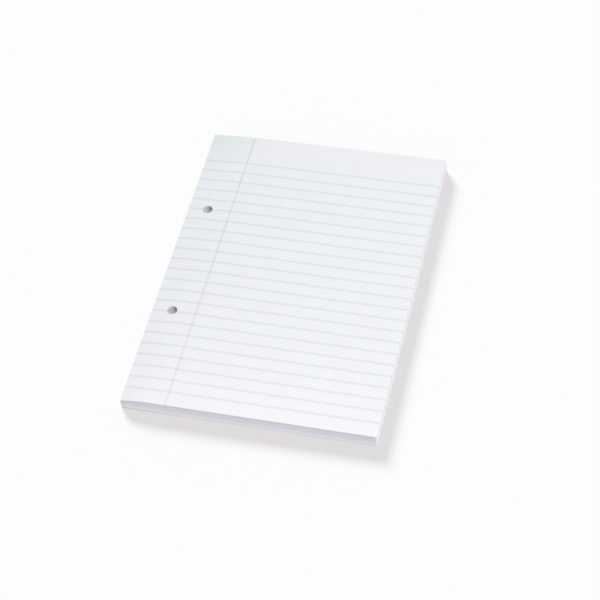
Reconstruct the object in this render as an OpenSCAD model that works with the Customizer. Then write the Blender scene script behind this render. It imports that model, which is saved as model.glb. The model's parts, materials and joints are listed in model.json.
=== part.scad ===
// Side-glued A5 writing pad: ruled leaves on a card back, pressed and glued along the spine
// and drilled for a two-ring file.
// Millimetres. X runs from the spine to the fore edge, Y from the foot to the head, Z up.
// The origin is the middle of the footprint, on the surface that the pad lies on.

/* [Sheets] */
// Width of a sheet, from the spine to the fore edge
sheet_w = 148; // [120:1:220]
// Height of a sheet, from the foot to the head
sheet_h = 210; // [190:1:300]
// Number of leaves in the block
leaf_count = 80; // [40:1:120]
// Thickness that one leaf takes up where the block lies loose
leaf_t = 0.1045; // [0.095:0.0005:0.12]
// Thickness of one leaf where the block is pressed at the spine
pressed_leaf_t = 0.0795; // [0.065:0.0005:0.085]

/* [Fall to the spine] */
// Distance from the spine at which the top sheet comes level, along the foot
level_foot = 17; // [14:1:25]
// Distance from the spine at which the top sheet comes level, along the head
level_head = 50; // [35:1:60]

/* [Spine glue] */
// Thickness of the dried film of glue
glue_t = 0.35; // [0.25:0.05:0.8]
// Thickness of the film at its lower and upper edge
glue_edge_t = 0.15; // [0.05:0.05:0.2]
// Height over which the film thins out to its edges
glue_taper = 1; // [0.5:0.1:1.5]

/* [Backing board] */
// Thickness of the card under the sheets
board_t = 0.5; // [0.4:0.1:2]

/* [Filing holes] */
// Diameter of a filing hole
hole_d = 6; // [5:0.5:8]
// Distance between the centres of the two filing holes
hole_pitch = 80; // [60:1:110]
// Distance of the filing holes from the spine edge of the sheets
hole_inset = 12; // [9:0.5:16]
// Distance of the middle of the two holes above the middle of the sheet
hole_shift = 2; // [-5:0.5:5]

/* [Ruling] */
// Distance of the first ruled line from the head
head_space = 22.4; // [15:0.1:35]
// Least distance of the last ruled line from the foot
foot_space = 8; // [5:0.5:12]
// Distance between ruled lines
line_pitch = 8.1; // [6:0.1:10]
// Width of a ruled line
line_w = 1.2; // [0.3:0.05:1.5]
// Distance of the margin line from the spine edge of the sheets
margin_inset = 26.5; // [20:0.5:45]
// Width of the margin line
margin_w = 0.8; // [0.3:0.05:1.5]
// Thickness of the printed ink
ink_t = 0.03; // [0.02:0.01:0.1]

/* [Hidden] */
$fn = 96;
// Sides of the wide cone that the top sheet bends along
cone_fn = 720;
// How far a cutting shape runs past what it cuts
overshoot = 1;

// Heights
block_t = leaf_count * leaf_t;
pad_t = board_t + block_t;
fall = leaf_count * (leaf_t - pressed_leaf_t);
spine_t = pad_t - fall;

// Edges of the sheets, with the glue counted in the footprint
spine_x = (glue_t - sheet_w) / 2;
foot_y = -sheet_h / 2;
head_y = sheet_h / 2;

// Places of the holes and the ruling
hole_x = spine_x + hole_inset;
hole_ys = [for (side = [-1, 1]) hole_shift + side * hole_pitch / 2];
line_count = 1 + floor((sheet_h - head_space - foot_space) / line_pitch);
line_ys = [for (i = [0 : line_count - 1]) head_y - head_space - i * line_pitch];
margin_x = spine_x + margin_inset;

// A bent sheet doesn't stretch, so the top falls to the spine along a cone. The cone touches the level
// part of the top along the fall line, which runs from level_foot to level_head, and it reaches the
// full fall at both ends of the spine. Its apex lies on the fall line, below the foot.
fall_turn = atan((level_head - level_foot) / sheet_h);
cone_slope = sin(fall_turn) * (level_foot + level_head) / (2 * fall);
cone_angle = atan(cone_slope);
// The spine's foot corner, measured across the fall line and along it from the apex
corner_across = level_foot * cos(fall_turn);
corner_along = (corner_across ^ 2 - fall ^ 2 * (cone_slope ^ 2 - 1)) / (2 * fall * cone_slope);
apex = [
  spine_x + corner_across * cos(fall_turn) - corner_along * sin(fall_turn),
  foot_y - corner_across * sin(fall_turn) - corner_along * cos(fall_turn),
  pad_t
];
// Length that passes the far corner of any sheet, from the apex
reach = 3 * (sheet_w + sheet_h);

// Outline of a sheet
module sheet_plan() {
  translate([spine_x, foot_y]) square([sheet_w, sheet_h]);
}

// The two filing holes, in plan
module hole_plan() {
  for (y = hole_ys) translate([hole_x, y]) circle(d = hole_d);
}

// The two filing holes, drilled through the whole pad
module filing_holes() {
  for (y = hole_ys) {
    translate([hole_x, y, -overshoot]) cylinder(d = hole_d, h = pad_t + 2 * overshoot);
  }
}

// The space under the top sheet, raised by lift: X runs along the fall line, Y towards the spine
module under_top(lift = 0) {
  depth = pad_t + overshoot;
  start = corner_along / 2;
  translate(apex + [0, 0, lift]) rotate([0, 0, 90 - fall_turn]) {
    translate([start, -reach, -depth]) cube([reach, reach, depth]);
    intersection() {
      translate([start, 0, -depth]) cube([reach, reach, depth + overshoot]);
      rotate([0, 90 + cone_angle, 0])
        cylinder(r1 = 0, r2 = reach * sin(cone_angle), h = reach * cos(cone_angle), $fn = cone_fn);
    }
  }
}

// Printed lines in plan, running off the sheet's edges and cut by the holes
module ruling_plan() {
  difference() {
    union() {
      for (y = line_ys) translate([spine_x, y - line_w / 2]) square([sheet_w, line_w]);
      translate([margin_x - margin_w / 2, foot_y]) square([margin_w, sheet_h]);
    }
    hole_plan();
  }
}

// Section of the glue film, from the spine face outwards and up
module glue_section() {
  polygon([
    [0, 0],
    [-glue_edge_t, 0],
    [-glue_t, glue_taper],
    [-glue_t, spine_t - glue_taper],
    [-glue_edge_t, spine_t],
    [-glue_edge_t, pad_t],
    [0, pad_t]
  ]);
}

// The block of leaves, one solid
module ruled_sheets() {
  color([0.95, 0.955, 0.965])
    difference() {
      intersection() {
        translate([0, 0, board_t]) linear_extrude(block_t + overshoot) sheet_plan();
        under_top();
      }
      filing_holes();
    }
}

// Pale blue ink of the ruled lines and the margin, on the top sheet
module ruling() {
  color([0.85, 0.89, 0.92])
    difference() {
      intersection() {
        linear_extrude(pad_t + overshoot) ruling_plan();
        under_top(ink_t);
      }
      under_top();
    }
}

// Grey card back, cut and drilled with the sheets
module backing_board() {
  color([0.78, 0.77, 0.75])
    linear_extrude(board_t) difference() {
      sheet_plan();
      hole_plan();
    }
}

// Film of padding glue that holds the leaves and the board along the spine
module spine_glue() {
  color([0.93, 0.93, 0.9])
    intersection() {
      translate([spine_x, head_y, 0]) rotate([90, 0, 0]) linear_extrude(sheet_h) glue_section();
      under_top();
    }
}

ruled_sheets();
ruling();
backing_board();
spine_glue();
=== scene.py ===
# %% [markdown]
# # A side-glued writing pad
# The real pad is a block of white leaves on a thin grey card. The leaves are pressed together and glued
# along the left edge, ruled in pale blue, and drilled for a two-ring file. The solid model fixes every
# size and place, so this lesson only loads it and dresses it: cut leaf edges, print, glue, card, light
# and camera.

# %% Load the frame
import json
import math

import bmesh
import bpy
import numpy as np
from mathutils import Euler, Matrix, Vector, noise
from mathutils.geometry import delaunay_2d_cdt


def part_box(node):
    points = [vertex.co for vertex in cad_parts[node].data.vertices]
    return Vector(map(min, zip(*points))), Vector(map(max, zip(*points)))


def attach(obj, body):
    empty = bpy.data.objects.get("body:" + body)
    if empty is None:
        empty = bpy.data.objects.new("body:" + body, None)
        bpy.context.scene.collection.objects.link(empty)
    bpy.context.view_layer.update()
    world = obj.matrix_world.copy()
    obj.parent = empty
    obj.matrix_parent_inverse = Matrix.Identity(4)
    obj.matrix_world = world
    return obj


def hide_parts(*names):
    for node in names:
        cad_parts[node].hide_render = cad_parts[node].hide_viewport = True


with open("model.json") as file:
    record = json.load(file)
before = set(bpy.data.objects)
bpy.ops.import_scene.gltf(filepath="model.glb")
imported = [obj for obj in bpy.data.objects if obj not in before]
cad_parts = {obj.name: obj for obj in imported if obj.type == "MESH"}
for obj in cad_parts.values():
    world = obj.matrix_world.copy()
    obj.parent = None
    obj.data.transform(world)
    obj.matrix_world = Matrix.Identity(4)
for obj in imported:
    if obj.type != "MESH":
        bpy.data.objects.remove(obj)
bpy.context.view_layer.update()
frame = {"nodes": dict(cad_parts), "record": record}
print("nodes in the frame:", sorted(frame["nodes"]))

# %% [markdown]
# ## Measures
# Everything below is placed by a handful of lengths. They could all be typed in, but then the two models
# could drift apart, so those that the solids can tell are read from them. The rest repeat the pad's
# driving dimensions further down. Blender works in metres, so a millimetre gets a name.

# %% Read the pad's measures
MM = 0.001
sheets_low, sheets_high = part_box("ruled_sheets")
spine_x, foot_y, board_top = sheets_low
fore_x, head_y, level_top = sheets_high
glue_t = spine_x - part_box("spine_glue")[0].x
ink_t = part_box("ruling")[1].z - level_top
sheet_h = head_y - foot_y

bores = [mount for mount in frame["record"]["mounts"] if mount["kind"] == "bore"]
hole_r = bores[0]["dims"]["r_mm"] * MM
hole_centres = [Vector(bore["pos_m"][:2]) for bore in bores]
print(f"sheet {(fore_x - spine_x) / MM:.1f} x {sheet_h / MM:.1f} mm, {len(bores)} holes, "
      f"glue {glue_t / MM:.2f} mm, ink {ink_t / MM:.3f} mm")

# %% [markdown]
# ## Places of the print
# Feint ruling starts under a blank head and goes on at an even pitch until too little room is left at the
# foot. The margin stands off from the spine, past the filing holes. Every line's place could be listed,
# but a count worked out from the spaces can't disagree with them.

# %% Place the print
LINE_PITCH = 8.1 * MM
LINE_W = 1.2 * MM
HEAD_SPACE = 22.4 * MM
FOOT_SPACE = 8 * MM
MARGIN_W = 0.8 * MM
MARGIN_INSET = 26.5 * MM

margin_x = spine_x + MARGIN_INSET
line_count = 1 + math.floor((sheet_h - HEAD_SPACE - FOOT_SPACE) / LINE_PITCH)
line_ys = [head_y - HEAD_SPACE - i * LINE_PITCH for i in range(line_count)]
print(f"{line_count} ruled lines, margin {margin_x / MM:.1f} mm from the middle of the pad")

# %% [markdown]
# ## The fall of the top sheet
# The leaves lie loose over most of the pad, but the glue clamps them tight, so the top sheet falls
# towards the spine. That could be sculpted by eye, but paper bends without stretching, and the only
# shapes that allow it are flat, rolled or coned. Here it is a cone: the fall is short at the foot and
# long at the head. Solving the cone's equation gives the height at any point.

# %% Height of the cone
LEVEL_FOOT = 17 * MM
LEVEL_HEAD = 50 * MM
FALL = 2 * MM

fall_turn = math.atan((LEVEL_HEAD - LEVEL_FOOT) / sheet_h)
turn_sin, turn_cos = math.sin(fall_turn), math.cos(fall_turn)
cone_slope = turn_sin * (LEVEL_FOOT + LEVEL_HEAD) / (2 * FALL)
cone_term = cone_slope ** 2 - 1
corner_across = LEVEL_FOOT * turn_cos
corner_along = (corner_across ** 2 - FALL ** 2 * cone_term) / (2 * FALL * cone_slope)
apex_x = spine_x + corner_across * turn_cos - corner_along * turn_sin
apex_y = foot_y - corner_across * turn_sin - corner_along * turn_cos


def fall_at(x, y):
    """How far the cone lies under the level top."""
    along = (x - apex_x) * turn_sin + (y - apex_y) * turn_cos
    across = (y - apex_y) * turn_sin - (x - apex_x) * turn_cos
    if across <= 0:
        return 0.0
    run = along * cone_slope
    return (math.sqrt(run ** 2 + cone_term * across ** 2) - run) / cone_term


print(f"fall at the spine: {fall_at(spine_x, foot_y) / MM:.2f} mm at the foot, "
      f"{fall_at(spine_x, 0) / MM:.2f} mm midway")

# %% [markdown]
# ## Waves and pressed rims
# A sheet of paper never lies quite flat: it has slow, shallow waves, and a drill pulls it down a little
# around each hole. A displacement modifier could do both, but the print has to follow the same surface.
# So they are two more functions, and every piece that touches the top sheet asks top_at for its height.

# %% Height of the top sheet
WAVE_LENGTH = 70 * MM
WAVE_DEPTH = 0.1 * MM
RIM_DIP = 0.06 * MM
RIM_REACH = 0.6 * MM


def wave_at(x, y):
    """Depth of the waves under the level top."""
    return WAVE_DEPTH * (0.5 + 0.5 * noise.noise(Vector((x, y, 0)) / WAVE_LENGTH))


def rim_at(x, y):
    """Depth of the dip around the holes."""
    gaps = [(Vector((x, y)) - centre).length - hole_r for centre in hole_centres]
    return sum(RIM_DIP * math.exp(-((gap / RIM_REACH) ** 2)) for gap in gaps)


def top_at(x, y):
    """Height of the top sheet."""
    return level_top - fall_at(x, y) - wave_at(x, y) - rim_at(x, y)


print(f"the page lies {top_at(0, 0) / MM:.2f} mm up at its middle, "
      f"{top_at(spine_x, 0) / MM:.2f} mm at the spine")

# %% [markdown]
# ## The outlines of a leaf
# A cut block shows the edge of every leaf, and no two lie exactly in line. Eighty separate sheets would
# be mostly hidden paper, so the block is one closed mesh: a field of triangles for the page, another for
# the underside, and walls round the sides and the holes. All of them start from the same outlines, so
# that their borders meet point for point. The points stand closer together where the sheet bends.

# %% Draw the outlines
DIP_STEP = 2.5 * MM
LEVEL_STEP = 7 * MM
HOLE_SIDES = 40


def stations(start, stop, step):
    """Evenly spaced places from start up to, but not including, stop."""
    count = max(1, round(abs(stop - start) / step))
    return [start + (stop - start) * i / count for i in range(count)]


def circle(centre, radius):
    """Points round a hole."""
    turns = [2 * math.pi * i / HOLE_SIDES for i in range(HOLE_SIDES)]
    return [(centre.x + radius * math.cos(a), centre.y + radius * math.sin(a)) for a in turns]


level_x = spine_x + LEVEL_HEAD
across_xs = stations(spine_x, level_x, DIP_STEP) + stations(level_x, fore_x, LEVEL_STEP)
up_ys = stations(foot_y, head_y, LEVEL_STEP)
back_xs = [fore_x] + across_xs[:0:-1]
down_ys = [head_y] + up_ys[:0:-1]

rim = [(x, foot_y) for x in across_xs] + [(fore_x, y) for y in up_ys]
rim += [(x, head_y) for x in back_xs] + [(spine_x, y) for y in down_ys]
hole_rims = [circle(centre, hole_r) for centre in hole_centres]
print(f"{len(rim)} points round the sheet, {HOLE_SIDES} round each hole")

# %% [markdown]
# ## The field of a sheet
# A sheet with holes is no plain grid. A boolean could cut the holes, but it leaves long thin triangles
# that shade badly. Here the outlines and a grid of inner points go to a fill that prefers even triangles.
# Rings of points round each hole give the pressed rim its curve.

# %% Fill the sheet with triangles
CLEAR_OF_HOLE = 2.5 * MM
RIM_RINGS = (0.3 * MM, 0.7 * MM, 1.3 * MM)
SAME_POINT = 1e-9
FILL_INSIDE = 2


def sheet_field():
    """Plan points and triangles of a sheet with its holes."""
    points, loops = [], []
    for loop in [rim, *hole_rims]:
        loops.append(list(range(len(points), len(points) + len(loop))))
        points += loop
    for centre in hole_centres:
        for ring in RIM_RINGS:
            points += circle(centre, hole_r + ring)
    for x in across_xs[1:]:
        for y in up_ys[1:]:
            gaps = [(Vector((x, y)) - centre).length - hole_r for centre in hole_centres]
            if min(gaps) > CLEAR_OF_HOLE:
                points.append((x, y))
    filled = delaunay_2d_cdt([Vector(p) for p in points], [], loops, FILL_INSIDE, SAME_POINT)
    return filled[0], filled[2]


plan_points, plan_faces = sheet_field()
print(f"the sheet's field has {len(plan_faces)} triangles")

# %% [markdown]
# ## Leaf edges
# The guillotine cuts all the leaves at once, but each springs back by its own small amount. The amounts
# are drawn from a seeded generator, so the result is the same on every run. A leaf takes three rows of
# points: two make its edge, and the third makes the gap under the next leaf. The upper leaves have been
# thumbed and lie looser, so their gaps are wider and deeper and the walls look darker there. In the holes
# the drill has smeared the gaps nearly shut.

# %% Draw the leaves back
LEAF_COUNT = 80
LEAF_SEED = 20
LOOSE_LEAF = 0.035 * MM
HOLE_SCATTER = 0.02 * MM
LARGEST_INSET = 0.12 * MM
GAP_LOW, GAP_HIGH = 0.02, 0.32
GAP_DEPTH_LOW, GAP_DEPTH_HIGH = 0.02 * MM, 0.35 * MM
HOLE_GAPS = 0.2

chance = np.random.default_rng(LEAF_SEED)


def leaf_insets(spread):
    """How far each leaf is drawn back, with the first and the last flush."""
    drawn = np.minimum(np.abs(chance.normal(0, spread, LEAF_COUNT)), LARGEST_INSET)
    drawn[0] = drawn[-1] = 0
    return drawn


def between(low, high, share):
    """The value at a share of the way from low to high."""
    return low + (high - low) * share


def leaf_rows(insets, pressed=1.0):
    """(share of the height, inset) of each row of a wall, from the card to the top."""
    rows = [(0.0, insets[0])]
    for k in range(LEAF_COUNT):
        looseness = (k + 1) / LEAF_COUNT
        gap = between(GAP_LOW, GAP_HIGH, looseness)
        rows.append(((k + gap) / LEAF_COUNT, insets[k]))
        rows.append(((k + 1 - gap) / LEAF_COUNT, insets[k]))
        if k < LEAF_COUNT - 1:
            depth = pressed * between(GAP_DEPTH_LOW, GAP_DEPTH_HIGH, looseness)
            rows.append((looseness, max(insets[k], insets[k + 1]) + depth))
    rows.append((1.0, 0.0))
    return rows


foot_rows = leaf_rows(leaf_insets(LOOSE_LEAF))
fore_rows = leaf_rows(leaf_insets(LOOSE_LEAF))
head_rows = leaf_rows(leaf_insets(LOOSE_LEAF))
hole_rows = leaf_rows(leaf_insets(HOLE_SCATTER), HOLE_GAPS)
print(f"{len(foot_rows)} rows to a wall, the deepest {max(inset for _, inset in foot_rows) / MM:.2f} mm in")

# %% [markdown]
# ## Walls
# A wall is a band of quads from row to row, up from the card to the top sheet. An array of thin boxes
# would be quicker, but boxes can't follow the falling sheet. Here every row stands at its share of the
# height under the top sheet, so the leaves are squeezed towards the spine as the real ones are.

# %% Raise the walls
def raised(x, y, share):
    """Height at a share of the block's thickness over a point of the plan."""
    return board_top + share * (top_at(x, y) - board_top)


def wall(mesh, row_points, flip=False):
    """Quads between closed rows of points."""
    rows = [[mesh.verts.new(p) for p in points] for points in row_points]
    count = len(rows[0])
    for low, high in zip(rows, rows[1:]):
        for i in range(count):
            j = (i + 1) % count
            corners = (low[i], low[j], high[j], high[i])
            mesh.faces.new(corners[::-1] if flip else corners)


def block_walls(mesh):
    """The four cut sides. The spine side is pressed flush under the glue."""
    row_points = []
    for (share, foot_in), (_, fore_in), (_, head_in) in zip(foot_rows, fore_rows, head_rows):
        back = {fore_x: -fore_in}
        up = {foot_y: foot_in, head_y: -head_in}
        row_points.append([(x + back.get(x, 0), y + up.get(y, 0), raised(x, y, share)) for x, y in rim])
    wall(mesh, row_points)


def hole_walls(mesh):
    """The drilled walls, with the leaves a little uneven round the hole."""
    for centre, loop in zip(hole_centres, hole_rims):
        row_points = []
        for share, inset in hole_rows:
            wider = circle(centre, hole_r + inset)
            row_points.append([(*p, raised(*q, share)) for p, q in zip(wider, loop)])
        wall(mesh, row_points, flip=True)


print(f"the block is {raised(0, 0, 1) / MM:.2f} mm high with the card, and a leaf takes "
      f"{(raised(0, 0, 1) - board_top) / LEAF_COUNT / MM:.3f} mm")

# %% [markdown]
# ## The closed block
# Walls and fields are made apart, so the points along their borders are doubled. Welding those closes the
# mesh, which a printer or an exporter needs. The page is shaded smooth and the cut faces flat, with a
# sharp border between them, because a guillotine leaves a crisp edge.

# %% Close the block
WELD = 0.0005 * MM
CUT_EDGE, DRILLED = 1, 2


def new_piece(name, mesh):
    """Turn a bmesh into an object of the scene."""
    data = bpy.data.meshes.new(name)
    mesh.to_mesh(data)
    mesh.free()
    piece = bpy.data.objects.new(name, data)
    bpy.context.scene.collection.objects.link(piece)
    print(f"{name}: {len(data.polygons)} faces")
    return piece


def leaf_block():
    """The whole block, with the page face smooth and the cut faces flat."""
    mesh = bmesh.new()
    block_walls(mesh)
    for face in mesh.faces:
        face.material_index = CUT_EDGE
    cut_faces = len(mesh.faces)
    hole_walls(mesh)
    for face in list(mesh.faces)[cut_faces:]:
        face.material_index = DRILLED
    base = [mesh.verts.new((p.x, p.y, board_top)) for p in plan_points]
    page = [mesh.verts.new((p.x, p.y, top_at(p.x, p.y))) for p in plan_points]
    for a, b, c in plan_faces:
        mesh.faces.new((base[c], base[b], base[a]))
        top = mesh.faces.new((page[a], page[b], page[c]))
        top.smooth = True
    bmesh.ops.remove_doubles(mesh, verts=mesh.verts, dist=WELD)
    for edge in mesh.edges:
        edge.smooth = len({face.smooth for face in edge.link_faces}) == 1
    return new_piece("leaf_block", mesh)


block = leaf_block()
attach(block, "root")
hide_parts("ruled_sheets")

# %% [markdown]
# ## Films of ink
# Feint ruling is a film of thin ink. It could be drawn in the page's material, but thin lines need a very
# fine picture when the model is exported. As geometry they keep their place: each line is a closed film
# that follows the top sheet. Ink creeps into the fibres, so a film is wider than its line by a bleed on
# each side, where its finish fades out.

# %% Make a film
INK_BLEED = 0.5 * MM
INK_LANES = 4
SEAT = 0.004 * MM


def lanes(centre, width):
    """Places across a line, from one faded side to the other."""
    half = width / 2 + INK_BLEED
    return [centre + half * (2 * i / INK_LANES - 1) for i in range(INK_LANES + 1)]


def film(mesh, sections, ink_lift):
    """A closed film of ink over rows of plan points, seated a hair deep in the paper."""
    rings = []
    for across in sections:
        over = [mesh.verts.new((x, y, top_at(x, y) + ink_lift)) for x, y in across]
        under = [mesh.verts.new((x, y, top_at(x, y) - SEAT)) for x, y in across]
        rings.append(over + under[::-1])
    count = len(rings[0])
    for a, b in zip(rings, rings[1:]):
        for j in range(count):
            k = (j + 1) % count
            mesh.faces.new((a[j], a[k], b[k], b[j]))
    for ring in (rings[0], rings[-1]):
        for j in range(INK_LANES):
            mesh.faces.new((ring[j], ring[j + 1], ring[-2 - j], ring[-1 - j]))


print(f"a line's film is {(LINE_W + 2 * INK_BLEED) / MM:.1f} mm wide, the margin's "
      f"{(MARGIN_W + 2 * INK_BLEED) / MM:.1f} mm")

# %% [markdown]
# ## The ruling
# The press rules every sheet before it is cut and drilled, so a line runs off both edges and stops at the
# rim of a hole. A boolean with the holes would do it, but here each lane of a film simply starts and
# stops where the hole's circle says. Near its ends a film has more rows, so that it follows the pressed
# rim. The margin lies a hair higher than the lines that it crosses.

# %% Lay the ruled lines
NEAR_END = (0.0, *RIM_RINGS, 2 * MM)
line_lift = 0.6 * ink_t
margin_lift = 0.9 * ink_t


def line_stretches(lane_ys):
    """Where each lane of a ruled line starts and stops, between the edges and the holes."""
    stretches = []
    starts = [spine_x] * len(lane_ys)
    for centre in hole_centres:
        reaches = [math.sqrt(max(0.0, hole_r ** 2 - (y - centre.y) ** 2)) for y in lane_ys]
        if max(reaches) > 0:
            stretches.append((starts, [centre.x - reach for reach in reaches]))
            starts = [centre.x + reach for reach in reaches]
    return [*stretches, (starts, [fore_x] * len(lane_ys))]


def line_sections(starts, stops, lane_ys):
    """Rows of points along a stretch, close together near its ends."""
    rows = [[x + step for x in starts] for step in NEAR_END]
    low, high = max(rows[-1]), min(stops) - NEAR_END[-1]
    rows += [[x] * len(lane_ys) for x in across_xs if low < x < high]
    rows += [[x - step for x in stops] for step in reversed(NEAR_END)]
    return [list(zip(row, lane_ys)) for row in rows]


def printed_ruling():
    """Ruled lines and margin in one mesh."""
    mesh = bmesh.new()
    for y in line_ys:
        lane_ys = lanes(y, LINE_W)
        for starts, stops in line_stretches(lane_ys):
            film(mesh, line_sections(starts, stops, lane_ys), line_lift)
    margin_xs = lanes(margin_x, MARGIN_W)
    margin_ys = sorted([*up_ys, *line_ys, head_y])
    film(mesh, [[(x, y) for x in margin_xs] for y in margin_ys], margin_lift)
    bmesh.ops.recalc_face_normals(mesh, faces=mesh.faces)
    return new_piece("printed_ruling", mesh)


ruling = printed_ruling()
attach(ruling, "root")
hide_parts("ruling")

# %% [markdown]
# ## The glue along the spine
# Padding glue is brushed on while the block is clamped, and dries to a thin, streaky skin. A flat strip
# would look like tape, so its thickness follows noise that is drawn out along the brush's way. It thins
# towards the card and the top leaf, where the brush wipes it off.

# %% Thickness of the glue
STREAK = Vector((30 * MM, 0.8 * MM))
STREAK_LAYER = 3
STREAK_FALLOFF, STREAK_STEP, STREAK_OCTAVES = 0.8, 2.0, 4
LEAST_FILM = 0.12
USUAL_FILM = 0.7
STREAK_SWING = 0.35
THINNING = 4


def film_at(y, share):
    """Thickness of the glue at a place along the spine and a share of its height."""
    place = Vector((y / STREAK.x, raised(spine_x, y, share) / STREAK.y, STREAK_LAYER))
    streaks = noise.fractal(place, STREAK_FALLOFF, STREAK_STEP, STREAK_OCTAVES)
    body = min(1.0, THINNING * share + LEAST_FILM, THINNING * (1 - share) + LEAST_FILM)
    return glue_t * body * min(1.0, max(LEAST_FILM, USUAL_FILM + STREAK_SWING * streaks))


print(f"glue midway along the spine: {film_at(0, 0.5) / MM:.2f} mm, "
      f"{film_at(0, 1) / MM:.2f} mm at the top leaf")

# %% [markdown]
# ## The skin of glue
# A displacement modifier could raise the streaks on a flat strip, but the strip's upper edge has to
# follow the fallen leaves. So the skin is a fine grid of points, each as far out as the glue is thick
# there. A second grid lies flat on the spine, and a band round the borders closes the two.

# %% Brush the glue on
GLUE_STEP_Y = 1.5 * MM
GLUE_ROWS = 16


def glue_height(y, share):
    """The film runs from under the card to the top leaf."""
    return share * raised(spine_x, y, 1.0)


def border(grid):
    """The points round a grid, in order."""
    near, far = [row[0] for row in grid], [row[-1] for row in grid]
    return near + grid[-1][1:] + far[-2::-1] + grid[0][-2:0:-1]


def glue_film():
    """A closed skin over the spine."""
    mesh = bmesh.new()
    ys = [*stations(foot_y, head_y, GLUE_STEP_Y), head_y]
    shares = [i / GLUE_ROWS for i in range(GLUE_ROWS + 1)]
    outer = [[mesh.verts.new((spine_x - film_at(y, s), y, glue_height(y, s))) for s in shares] for y in ys]
    inner = [[mesh.verts.new((spine_x, y, glue_height(y, s))) for s in shares] for y in ys]
    for grid, flip in ((outer, False), (inner, True)):
        for row, following in zip(grid, grid[1:]):
            for j in range(GLUE_ROWS):
                corners = (row[j], row[j + 1], following[j + 1], following[j])
                face = mesh.faces.new(corners[::-1] if flip else corners)
                face.smooth = not flip
    border_out, border_in = border(outer), border(inner)
    for i in range(len(border_out)):
        j = (i + 1) % len(border_out)
        mesh.faces.new((border_out[i], border_out[j], border_in[j], border_in[i]))
    bmesh.ops.recalc_face_normals(mesh, faces=mesh.faces)
    return new_piece("glue_film", mesh)


glue = glue_film()
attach(glue, "root")
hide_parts("spine_glue")

# %% [markdown]
# ## Node helpers
# Every finish below is a tree of shader nodes. Nodes can be placed by hand in the editor, but in a script
# each takes three or four lines, so a few helpers add a node, fill or link its inputs and hand back its
# result. Patterns are laid by the place on the pad, in metres, so they stay put however the camera moves.

# %% A short way to add nodes
def add_node(tree, kind, inputs=None, **settings):
    """Add a node, set its properties, and fill or link its inputs."""
    made = tree.nodes.new(kind)
    for name, value in settings.items():
        setattr(made, name, value)
    for key, value in (inputs or {}).items():
        if isinstance(value, bpy.types.NodeSocket):
            tree.links.new(value, made.inputs[key])
        else:
            made.inputs[key].default_value = value
    return made


def maths(tree, operation, a, b=0.0):
    """A Math node's result."""
    return add_node(tree, "ShaderNodeMath", {0: a, 1: b}, operation=operation).outputs[0]


def place_maths(tree, operation, *places, result=0):
    """A Vector Math node's result."""
    made = add_node(tree, "ShaderNodeVectorMath", dict(enumerate(places)), operation=operation)
    return made.outputs[result]


def ramp(tree, value, low, high, at_low=0.0, at_high=1.0):
    """A value between low and high, turned into one between at_low and at_high."""
    spans = {0: value, 1: low, 2: high, 3: at_low, 4: at_high}
    return add_node(tree, "ShaderNodeMapRange", spans).outputs[0]


def pad_place(tree):
    """The place on the pad."""
    return add_node(tree, "ShaderNodeTexCoord").outputs["Object"]


def along_axis(tree, axis):
    """The place on the pad along one axis."""
    return add_node(tree, "ShaderNodeSeparateXYZ", {0: pad_place(tree)}).outputs[axis]


def mottle(tree, place, scale, detail):
    """Noise, a half on average."""
    pattern = {"Vector": place, "Scale": scale, "Detail": detail}
    return add_node(tree, "ShaderNodeTexNoise", pattern).outputs[0]


def blend(tree, share, below, above, way="MIX"):
    """One colour laid over another by a share."""
    layers = {0: share, 6: below, 7: above}
    return add_node(tree, "ShaderNodeMix", layers, data_type="RGBA", blend_type=way).outputs[2]


def from_srgb(red, green, blue):
    """A colour as a screen shows it, in the linear values that shaders take."""
    linear = [c / 12.92 if c <= 0.04045 else ((c + 0.055) / 1.055) ** 2.4 for c in (red, green, blue)]
    return (*linear, 1.0)


print(f"a screen's half grey is {from_srgb(0.5, 0.5, 0.5)[0]:.3f} to a shader")

# %% [markdown]
# ## Matted fibres
# Page, cut edges, drilled walls and grey card are all made of matted fibres, cloudy from afar and grainy
# close up. Each material could have its own noise, but the effect is the same, so it is one node group,
# built once: it clouds a colour and gives a height for bump. Each material sets its own strength.

# %% Group of the fibres
COLOUR, VALUE = "NodeSocketColor", "NodeSocketFloat"
CLOUD_SCALE, CLOUD_DETAIL = 120.0, 4.0
GRAIN_SCALE, GRAIN_DETAIL = 1500.0, 5.0


def new_group(name, inputs, outputs):
    """An empty node group with named sockets."""
    group = bpy.data.node_groups.new(name, "ShaderNodeTree")
    for way, sockets in (("INPUT", inputs), ("OUTPUT", outputs)):
        for socket, kind in sockets.items():
            group.interface.new_socket(socket, in_out=way, socket_type=kind)
    return group


def put_out(group, **results):
    """Link a group's results to its outputs."""
    outputs = group.nodes.new("NodeGroupOutput").inputs
    for name, result in results.items():
        group.links.new(result, outputs[name])
    print(f"group {group.name}: {len(group.nodes)} nodes, puts out {', '.join(results)}")


def fibre_group():
    """Node group: clouds a colour as pressed fibres do."""
    strengths = {"Sheet Colour": COLOUR, "Cloudiness": VALUE, "Grain": VALUE}
    group = new_group("matted_fibres", strengths, {"Colour": COLOUR, "Height": VALUE})
    given = group.nodes.new("NodeGroupInput").outputs
    place = pad_place(group)
    clouds = mottle(group, place, CLOUD_SCALE, CLOUD_DETAIL)
    grain = mottle(group, place, GRAIN_SCALE, GRAIN_DETAIL)
    share = 1.0
    for pattern, strength in ((clouds, "Cloudiness"), (grain, "Grain")):
        swing = maths(group, "SUBTRACT", pattern, 0.5)
        share = maths(group, "ADD", maths(group, "MULTIPLY", swing, given[strength]), share)
    tinted = {0: given["Sheet Colour"], "Scale": share}
    shaded = add_node(group, "ShaderNodeVectorMath", tinted, operation="SCALE").outputs[0]
    put_out(group, Colour=shaded, Height=grain)
    return group


matted_fibres = fibre_group()

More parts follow.
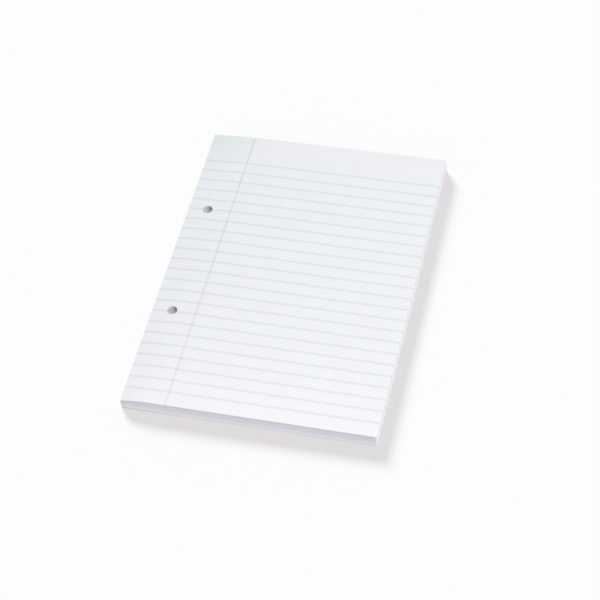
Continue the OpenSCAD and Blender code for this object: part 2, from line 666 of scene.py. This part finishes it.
# %% [markdown]
# ## The face of the page
# White writing paper with a touch of blue. Painted shade makes it a little darker and greener at the head
# corner by the spine. A painted picture could carry that, but a distance from the corner says it in one
# node.
# The ink shows the same paper through, so the face is a group that both materials use.

# %% Group of the page's face
PAPER_WHITE = from_srgb(0.943, 0.9485, 0.963)
PAINTED_CORNER_SHADE = from_srgb(0.888, 0.931, 0.939)
CORNER_SHADE_REACH = 34 * MM


def place_group(tree, group, **values):
    """Put a node group into a tree with its own values."""
    placed = add_node(tree, "ShaderNodeGroup", node_tree=group)
    for name, value in values.items():
        placed.inputs[name.replace("_", " ")].default_value = value
    return placed


def page_group():
    """Node group: the page's colour with painted shade at the head corner, and the height of its grain."""
    group = new_group("page_face", {}, {"Colour": COLOUR, "Height": VALUE})
    corner = (spine_x, head_y, level_top)
    away = place_maths(group, "DISTANCE", pad_place(group), corner, result="Value")
    # painted shade: darker and greener towards the head corner at the spine
    corner_shade = ramp(group, away, 0.0, CORNER_SHADE_REACH, 1.0, 0.0)
    fibres = place_group(group, matted_fibres, Cloudiness=0.05, Grain=0.04)
    group.links.new(blend(group, corner_shade, PAPER_WHITE, PAINTED_CORNER_SHADE), fibres.inputs["Sheet Colour"])
    put_out(group, Colour=fibres.outputs["Colour"], Height=fibres.outputs["Height"])
    return group


page_face = page_group()

# %% [markdown]
# ## Page paper
# Uncoated paper is dull, so its shine is weak and wide. What keeps it from looking like plastic is the
# faint cloudiness of the fibres and a bump too fine to see as dots. Roughness and bump follow the same
# grain in every finish of the pad, so one helper links them to the shader, which stays in the material.

# %% Finish of the page
PAGE_ROUGH = (0.8, 0.95)
PAGE_GRAIN = 0.02 * MM
PAGE_SHINE = 0.25


def new_material(name):
    """An empty node material, its tree and its shader."""
    material = bpy.data.materials.new(name)
    material.use_nodes = True
    tree = material.node_tree
    return material, tree, tree.nodes["Principled BSDF"]


def finish(tree, shader, colour, height, rough, depth, shine):
    """Link a colour and a grain's height to the shader, with roughness and bump that follow the grain."""
    tree.links.new(colour, shader.inputs["Base Color"])
    tree.links.new(ramp(tree, height, 0.0, 1.0, *rough), shader.inputs["Roughness"])
    bump = add_node(tree, "ShaderNodeBump", {"Height": height, "Distance": depth})
    tree.links.new(bump.outputs["Normal"], shader.inputs["Normal"])
    shader.inputs["Specular IOR Level"].default_value = shine


def wear(piece, material):
    """Give a piece its next finish."""
    piece.data.materials.append(material)
    print(f"{piece.name} wears {material.name}: {len(material.node_tree.nodes)} nodes")


def page_paper():
    """The face of the top leaf."""
    material, tree, shader = new_material("page_paper")
    face = place_group(tree, page_face).outputs
    finish(tree, shader, face["Colour"], face["Height"], PAGE_ROUGH, PAGE_GRAIN, PAGE_SHINE)
    return material


wear(block, page_paper())

# %% [markdown]
# ## Where the print lies
# Every leaf carries the same print. It shows on the page as ink, and on the cut edges as faint stripes
# where the line ends stack up. Two drawings could disagree, so one node group turns a place on the pad
# into two masks, one for the ruled lines and one for the margin. The bleed sets how softly a line ends.

# %% Group of the print's masks
def inked(tree, distance, width, bleed):
    """1 on a line, fading to 0 across the bleed to both sides of its edge."""
    full = maths(tree, "SUBTRACT", width / 2, bleed)
    gone = maths(tree, "ADD", width / 2, bleed)
    return ramp(tree, maths(tree, "ABSOLUTE", distance), full, gone, 1.0, 0.0)


def print_group():
    """Node group: where the ruled lines and the margin lie."""
    group = new_group("print_masks", {"Bleed": VALUE}, {"Line": VALUE, "Margin": VALUE})
    bleed = group.nodes.new("NodeGroupInput").outputs["Bleed"]
    across, up = along_axis(group, "X"), along_axis(group, "Y")
    lowest = line_ys[-1] - LINE_PITCH / 2
    highest = line_ys[0] + LINE_PITCH / 2
    over_lowest = maths(group, "SUBTRACT", up, lowest)
    in_pitch = maths(group, "FLOORED_MODULO", over_lowest, LINE_PITCH)
    from_line = maths(group, "SUBTRACT", in_pitch, LINE_PITCH / 2)
    above = maths(group, "GREATER_THAN", up, lowest)
    ruled = maths(group, "MULTIPLY", above, maths(group, "LESS_THAN", up, highest))
    line = maths(group, "MULTIPLY", inked(group, from_line, LINE_W, bleed), ruled)
    from_margin = maths(group, "SUBTRACT", across, margin_x)
    put_out(group, Line=line, Margin=inked(group, from_margin, MARGIN_W, bleed))
    return group


print_masks = print_group()

# %% [markdown]
# ## Cut edges
# The leaf edges are a shade darker and bluer than the page: painted shade for the light lost between
# them. The fore edge is painted a little whiter than the other two, as painted light. The stacked ends
# of the print show as faint stripes:
# the margin on the foot and the head, the ruled lines on the fore edge. Drawing them leaf by leaf would
# show no more, so they come from the masks, broken up by noise because no two leaves are printed quite
# alike.

# %% Finish of the cut edges
EDGE_WHITE_PAINTED_SHADE = from_srgb(0.91, 0.905, 0.941)
FORE_WHITE_PAINTED_LIGHT = from_srgb(0.935, 0.935, 0.95)
EDGE_INK = from_srgb(0.74, 0.77, 0.84)
FORE_BAND = 1 * MM
CUT_ROUGH = (0.85, 1.0)
CUT_GRAIN = 0.04 * MM
CUT_SHINE = 0.15
END_BLEED = 0.3 * MM
END_SHARE = 0.2
END_SCALE, END_DETAIL = 900.0, 2.0


def cut_edges():
    """The stacked edges of the leaves."""
    material, tree, shader = new_material("cut_edges")
    on_fore = maths(tree, "GREATER_THAN", along_axis(tree, "X"), fore_x - FORE_BAND)
    fibres = place_group(tree, matted_fibres, Cloudiness=0.03, Grain=0.08)
    # painted light and shade: the fore edge painted whiter, the foot and head edges darker and bluer
    tree.links.new(blend(tree, on_fore, EDGE_WHITE_PAINTED_SHADE, FORE_WHITE_PAINTED_LIGHT), fibres.inputs["Sheet Colour"])
    masks = place_group(tree, print_masks, Bleed=END_BLEED).outputs
    ends = maths(tree, "MAXIMUM", masks["Margin"], maths(tree, "MULTIPLY", masks["Line"], on_fore))
    patchy = maths(tree, "MULTIPLY", ends, mottle(tree, pad_place(tree), END_SCALE, END_DETAIL))
    share = maths(tree, "MULTIPLY", patchy, 2 * END_SHARE)
    colour = blend(tree, share, fibres.outputs["Colour"], EDGE_INK)
    finish(tree, shader, colour, fibres.outputs["Height"], CUT_ROUGH, CUT_GRAIN, CUT_SHINE)
    return material


wear(block, cut_edges())

# %% [markdown]
# ## Drilled walls
# The wall of a hole is greyer at the page and painted paler towards the card, as painted light deep down.
# One side, between the head and the fore edge, is painted dark as painted shade. A painted picture could
# show all that, but the place on the pad drives it just as well: wrapped at the spacing of the holes, it
# becomes the place in either hole. The light does the rest: little of it gets deep into a hole, so even
# pale walls look grey there.

# %% Finish of the drilled walls
DRILLED_TOP = from_srgb(0.868, 0.87, 0.896)
DRILLED_DEEP_PAINTED_LIGHT = from_srgb(0.982, 0.983, 0.992)
DRILLED_PAINTED_SHADE = from_srgb(0.7, 0.703, 0.728)
SHADE_SIDE_TURN = math.radians(40)
SHADE_START, SHADE_FULL = 0.5, 0.85

hole_spacing = (hole_centres[0] - hole_centres[1]).length


def painted_shade_side(tree):
    """1 on the side of a hole that carries painted shade, fading to 0 at both sides."""
    away = place_maths(tree, "SUBTRACT", pad_place(tree), (*hole_centres[0], 0.0))
    half_way = Vector((1, 1, 1)) * hole_spacing / 2
    in_hole = place_maths(tree, "WRAP", away, half_way, -half_way)
    shade_side = (math.cos(SHADE_SIDE_TURN), math.sin(SHADE_SIDE_TURN), 0.0)
    facing_shade = place_maths(tree, "DOT_PRODUCT", in_hole, shade_side, result="Value")
    return ramp(tree, facing_shade, SHADE_START * hole_r, SHADE_FULL * hole_r)


def drilled_walls():
    """Rough walls of the filing holes, with painted light deep down and painted shade on one side."""
    material, tree, shader = new_material("drilled_walls")
    depth = ramp(tree, along_axis(tree, "Z"), level_top, board_top)
    # painted light: the wall is painted paler deeper down
    painted_depth_light = blend(tree, depth, DRILLED_TOP, DRILLED_DEEP_PAINTED_LIGHT)
    fibres = place_group(tree, matted_fibres, Cloudiness=0.03, Grain=0.05)
    # painted shade on one side of each hole
    colour = blend(tree, painted_shade_side(tree), painted_depth_light, DRILLED_PAINTED_SHADE)
    tree.links.new(colour, fibres.inputs["Sheet Colour"])
    made = fibres.outputs
    finish(tree, shader, made["Colour"], made["Height"], CUT_ROUGH, CUT_GRAIN, CUT_SHINE)
    return material


wear(block, drilled_walls())

# %% [markdown]
# ## Ruling ink
# Thin ink is a filter over the paper: light goes through it twice and loses a share of each colour. An
# opaque blue would look like paint, so the film wears the page's own face, and each ink multiplies it by
# what it lets back. Where the margin crosses a line both inks act, and the crossing comes out darker by
# itself. The ink drifts from green-blue at the head to grey-blue at the foot, in patches, as it does when
# a ruling machine's trough runs low.

# %% Finish of the ruling
LINE_AT_FOOT = (0.865, 0.875, 0.898, 1.0)
LINE_AT_HEAD = (0.805, 0.912, 0.932, 1.0)
MARGIN_AT_FOOT = (0.84, 0.845, 0.858, 1.0)
MARGIN_AT_HEAD = (0.765, 0.835, 0.83, 1.0)
PATCH_SCALE, PATCH_DETAIL = 70.0, 2.0


def feint_ink():
    """The page with two inks on it."""
    material, tree, shader = new_material("feint_ink")
    face = place_group(tree, page_face).outputs
    masks = place_group(tree, print_masks, Bleed=INK_BLEED).outputs
    rise = ramp(tree, along_axis(tree, "Y"), foot_y, head_y)
    patches = maths(tree, "SUBTRACT", mottle(tree, pad_place(tree), PATCH_SCALE, PATCH_DETAIL), 0.5)
    drift = maths(tree, "ADD", rise, patches)
    line = blend(tree, drift, LINE_AT_FOOT, LINE_AT_HEAD)
    margin = blend(tree, drift, MARGIN_AT_FOOT, MARGIN_AT_HEAD)
    ruled = blend(tree, masks["Line"], face["Colour"], line, "MULTIPLY")
    crossed = blend(tree, masks["Margin"], ruled, margin, "MULTIPLY")
    finish(tree, shader, crossed, face["Height"], PAGE_ROUGH, PAGE_GRAIN, PAGE_SHINE)
    return material


wear(ruling, feint_ink())

# %% [markdown]
# ## Grey card
# The back is pulped waste paper pressed into card: pale grey, with light and dark specks and short
# fibres, and darker towards the spine. The solid already has the right shape, so it keeps its mesh and
# only gets a finish. Specks could be scattered as dots, but noise cut off near its peaks gives them at
# once, each of its own size.

# %% Finish of the card
BOARD_GREY = from_srgb(0.85, 0.843, 0.838)
BOARD_SPINE_DARK = from_srgb(0.67, 0.655, 0.65)
SPINE_DARK_REACH = 40 * MM
BOARD_DARK = from_srgb(0.52, 0.51, 0.5)
BOARD_PALE = from_srgb(0.88, 0.87, 0.85)
DARK_SCALE, PALE_SCALE, SPECK_DETAIL = 700.0, 450.0, 1.0
SPECK_START, SPECK_FULL, SPECK_SHARE = 0.66, 0.74, 0.35
CARD_ROUGH = (0.8, 1.0)
CARD_GRAIN = 0.06 * MM
CARD_SHINE = 0.2


def specked_card():
    """Specked grey card, darker towards the spine."""
    material, tree, shader = new_material("specked_card")
    # the card is darker towards the spine
    towards_spine = ramp(tree, along_axis(tree, "X"), spine_x, spine_x + SPINE_DARK_REACH, 1.0, 0.0)
    fibres = place_group(tree, matted_fibres, Cloudiness=0.16, Grain=0.2)
    tree.links.new(blend(tree, towards_spine, BOARD_GREY, BOARD_SPINE_DARK), fibres.inputs["Sheet Colour"])
    colour = fibres.outputs["Colour"]
    for scale, speck in ((DARK_SCALE, BOARD_DARK), (PALE_SCALE, BOARD_PALE)):
        peaks = mottle(tree, pad_place(tree), scale, SPECK_DETAIL)
        share = ramp(tree, peaks, SPECK_START, SPECK_FULL, 0.0, SPECK_SHARE)
        colour = blend(tree, share, colour, speck)
    finish(tree, shader, colour, fibres.outputs["Height"], CARD_ROUGH, CARD_GRAIN, CARD_SHINE)
    return material


board = frame["nodes"]["backing_board"]
board.data.materials.clear()
wear(board, specked_card())

# %% [markdown]
# ## Dried glue
# The glue dries clear-white and a little shiny, thin in some streaks and thick in others. Plain noise
# would make blots, so the noise is drawn out along the spine, the same way as the brush and the relief.

# %% Finish of the glue
GLUE_WHITE = from_srgb(0.943, 0.941, 0.922)
GLUE_THIN = from_srgb(0.912, 0.909, 0.886)
DRAWN_OUT = (1.0, 0.04, 1.0)
BRUSH_SCALE, BRUSH_DETAIL = 1400.0, 4.0
GLUE_ROUGH = (0.35, 0.65)
GLUE_RELIEF = 0.03 * MM
GLUE_SHINE = 0.45


def dried_glue():
    """Streaky, half-shiny film."""
    material, tree, shader = new_material("dried_glue")
    drawn = add_node(tree, "ShaderNodeMapping", {"Vector": pad_place(tree), "Scale": DRAWN_OUT}).outputs[0]
    streaks = mottle(tree, drawn, BRUSH_SCALE, BRUSH_DETAIL)
    colour = blend(tree, streaks, GLUE_WHITE, GLUE_THIN)
    finish(tree, shader, colour, streaks, GLUE_ROUGH, GLUE_RELIEF, GLUE_SHINE)
    return material


wear(glue, dried_glue())

# %% [markdown]
# ## Floor
# The pad lies on plain white. A white floor under enough light to look white would also flood the pad, so
# to the camera it is a dull grey that catches the shadow, with a glow added that lifts it to white. To
# the pad it is an even light from below, as a white table gives, which keeps the cut sides pale. That
# light is found by chance and not sampled as a lamp, because sampling it makes the walls of the holes
# blotchy.

# %% Lay the floor
FLOOR_SIZE = 6.0
FLOOR_GAP = 0.05 * MM
FLOOR_GREY = (0.289, 0.317, 0.312, 1.0)
GLOW_TINT = (1.0, 0.922, 0.936, 1.0)
FLOOR_GLOW = 0.541
FLOOR_BOUNCE = 0.95
FLOOR_SCALE, FLOOR_DETAIL = 3.0, 2.0
FLOOR_ROUGH = (0.9, 1.0)


def seen_straight(tree):
    """1 for rays from the camera, or from a shiny or clear surface."""
    rays = add_node(tree, "ShaderNodeLightPath").outputs
    straight = maths(tree, "MAXIMUM", rays["Is Camera Ray"], rays["Is Glossy Ray"])
    return maths(tree, "MAXIMUM", straight, rays["Is Transmission Ray"])


def white_floor():
    """White with its shadow to the camera; to the pad, an even light from below."""
    material, tree, shader = new_material("white_floor")
    drift = mottle(tree, pad_place(tree), FLOOR_SCALE, FLOOR_DETAIL)
    tree.links.new(ramp(tree, drift, 0.0, 1.0, *FLOOR_ROUGH), shader.inputs["Roughness"])
    shader.inputs["Base Color"].default_value = FLOOR_GREY
    shader.inputs["Specular IOR Level"].default_value = 0.0
    glow = add_node(tree, "ShaderNodeEmission", {"Color": GLOW_TINT, "Strength": FLOOR_GLOW})
    bounce = add_node(tree, "ShaderNodeEmission", {"Strength": FLOOR_BOUNCE})
    shown = add_node(tree, "ShaderNodeAddShader", {0: shader.outputs[0], 1: glow.outputs[0]})
    choice = {0: seen_straight(tree), 1: bounce.outputs[0], 2: shown.outputs[0]}
    mixed = add_node(tree, "ShaderNodeMixShader", choice)
    tree.links.new(mixed.outputs[0], tree.nodes["Material Output"].inputs["Surface"])
    material.cycles.emission_sampling = "NONE"
    return material


bpy.ops.mesh.primitive_plane_add(size=FLOOR_SIZE, location=(0, 0, -FLOOR_GAP))
floor = bpy.context.object
floor.name = "floor"
wear(floor, white_floor())

# %% [markdown]
# ## The room's light
# The pad lies in a white room. Walls could be modelled, but an even dome gives the same soft light from
# all round. Its strength is set for the paper, so that a colour renders about as it is written. To the
# camera the dome is plain white, which doesn't change the light.

# %% Light the dome
PLAIN_WHITE = (1, 1, 1, 1)
DOME_LIGHT = 0.7


def studio_dome():
    """White to the camera; to the pad, an even light from all round."""
    world = bpy.data.worlds.new("studio_dome")
    world.use_nodes = True
    tree = world.node_tree
    lit = tree.nodes["Background"]
    lit.inputs["Color"].default_value = PLAIN_WHITE
    lit.inputs["Strength"].default_value = DOME_LIGHT
    plain = add_node(tree, "ShaderNodeBackground", {"Color": PLAIN_WHITE, "Strength": 1.0})
    choice = {0: seen_straight(tree), 1: lit.outputs[0], 2: plain.outputs[0]}
    mixed = add_node(tree, "ShaderNodeMixShader", choice)
    tree.links.new(mixed.outputs[0], tree.nodes["World Output"].inputs["Surface"])
    return world


bpy.context.scene.world = studio_dome()
print(f"the dome lights the pad at {DOME_LIGHT}")

# %% [markdown]
# ## Lamps
# A soft lamp high on the fore edge side shapes the fall of the page, and a warm strip lamp over the foot
# brightens the near end. A soft low lamp beyond the head, on the spine's side, throws the shadow past the
# foot and the fore edge. One lamp for all three jobs would give the wrong shade on the page or on the
# floor, so light linking parts them: the page lamps light the pad alone and the shadow lamp the floor
# alone, and the floor has one shadow only.

# %% Hang the lamps
pad_only = bpy.data.collections.new("lit_by_page_lamps")
for piece in (block, ruling, glue, board):
    pad_only.objects.link(piece)
floor_only = bpy.data.collections.new("lit_by_shadow_lamp")
floor_only.objects.link(floor)


def hang(light, place, lit):
    """Hang a lamp, turn it to the middle of the pad, and let it light one collection alone."""
    lamp = bpy.data.objects.new(light.name, light)
    lamp.location = place
    lamp.rotation_euler = (-lamp.location).to_track_quat("-Z", "Y").to_euler()
    bpy.context.scene.collection.objects.link(lamp)
    lamp.light_linking.receiver_collection = lit


def page_lamp(name, place, width, depth, power, tint=(1, 1, 1)):
    """A soft lamp for the pad."""
    light = bpy.data.lights.new(name, "AREA")
    light.shape = "RECTANGLE"
    light.size = width
    light.size_y = depth
    light.energy = power
    light.color = tint
    hang(light, place, pad_only)


def shadow_lamp(turn, height, spread, strength):
    """A soft far lamp for the floor, with its angles in degrees."""
    light = bpy.data.lights.new("shadow_lamp", "SUN")
    light.angle = math.radians(spread)
    light.energy = strength
    from_head, over_floor = math.radians(turn), math.radians(height)
    level = math.cos(over_floor)
    place = (-math.sin(from_head) * level, math.cos(from_head) * level, math.sin(over_floor))
    hang(light, place, floor_only)


WARM = (1.0, 0.955, 0.8)
page_lamp("fore_lamp", place=(0.72, -0.16, 1.07), width=0.4, depth=0.4, power=5.58)
page_lamp("foot_lamp", place=(0.0, -0.15, 0.07), width=0.2, depth=0.03, power=0.0125, tint=WARM)
shadow_lamp(turn=37, height=30.1, spread=19, strength=5.125)

# %% [markdown]
# ## Camera
# The camera stands before the foot, a little to the fore edge side, and looks down on the page. A wide
# lens close by would splay the page, so it stands off with a long one. It is tipped slightly about its
# own axis, so the page leans to the right in the picture.

# %% Set the camera
AIM = Vector((10.5, -18.21, 9.06)) * MM
CAMERA_DISTANCE = 1.0915
CAMERA_TURN = 18.31
CAMERA_HEIGHT = 50.91
CAMERA_ROLL = -6.54
LENS = 112.38
SENSOR = 36.0

camera = bpy.data.objects.new("camera", bpy.data.cameras.new("camera"))
camera.data.lens = LENS
camera.data.sensor_width = SENSOR
tilt = Euler((math.radians(90 - CAMERA_HEIGHT), 0, math.radians(CAMERA_TURN)), "XYZ").to_quaternion()
roll = Euler((0, 0, math.radians(CAMERA_ROLL)), "XYZ").to_quaternion()
camera.rotation_euler = (tilt @ roll).to_euler()
camera.location = AIM + tilt @ Vector((0, 0, CAMERA_DISTANCE))
bpy.context.scene.collection.objects.link(camera)
bpy.context.scene.camera = camera
print("camera at", [round(c, 4) for c in camera.location])

# %% [markdown]
# ## Finish
# A filmic view would grey the paper, so colours are shown as they are written.

# %% Finish
bpy.context.scene.view_settings.view_transform = "Standard"
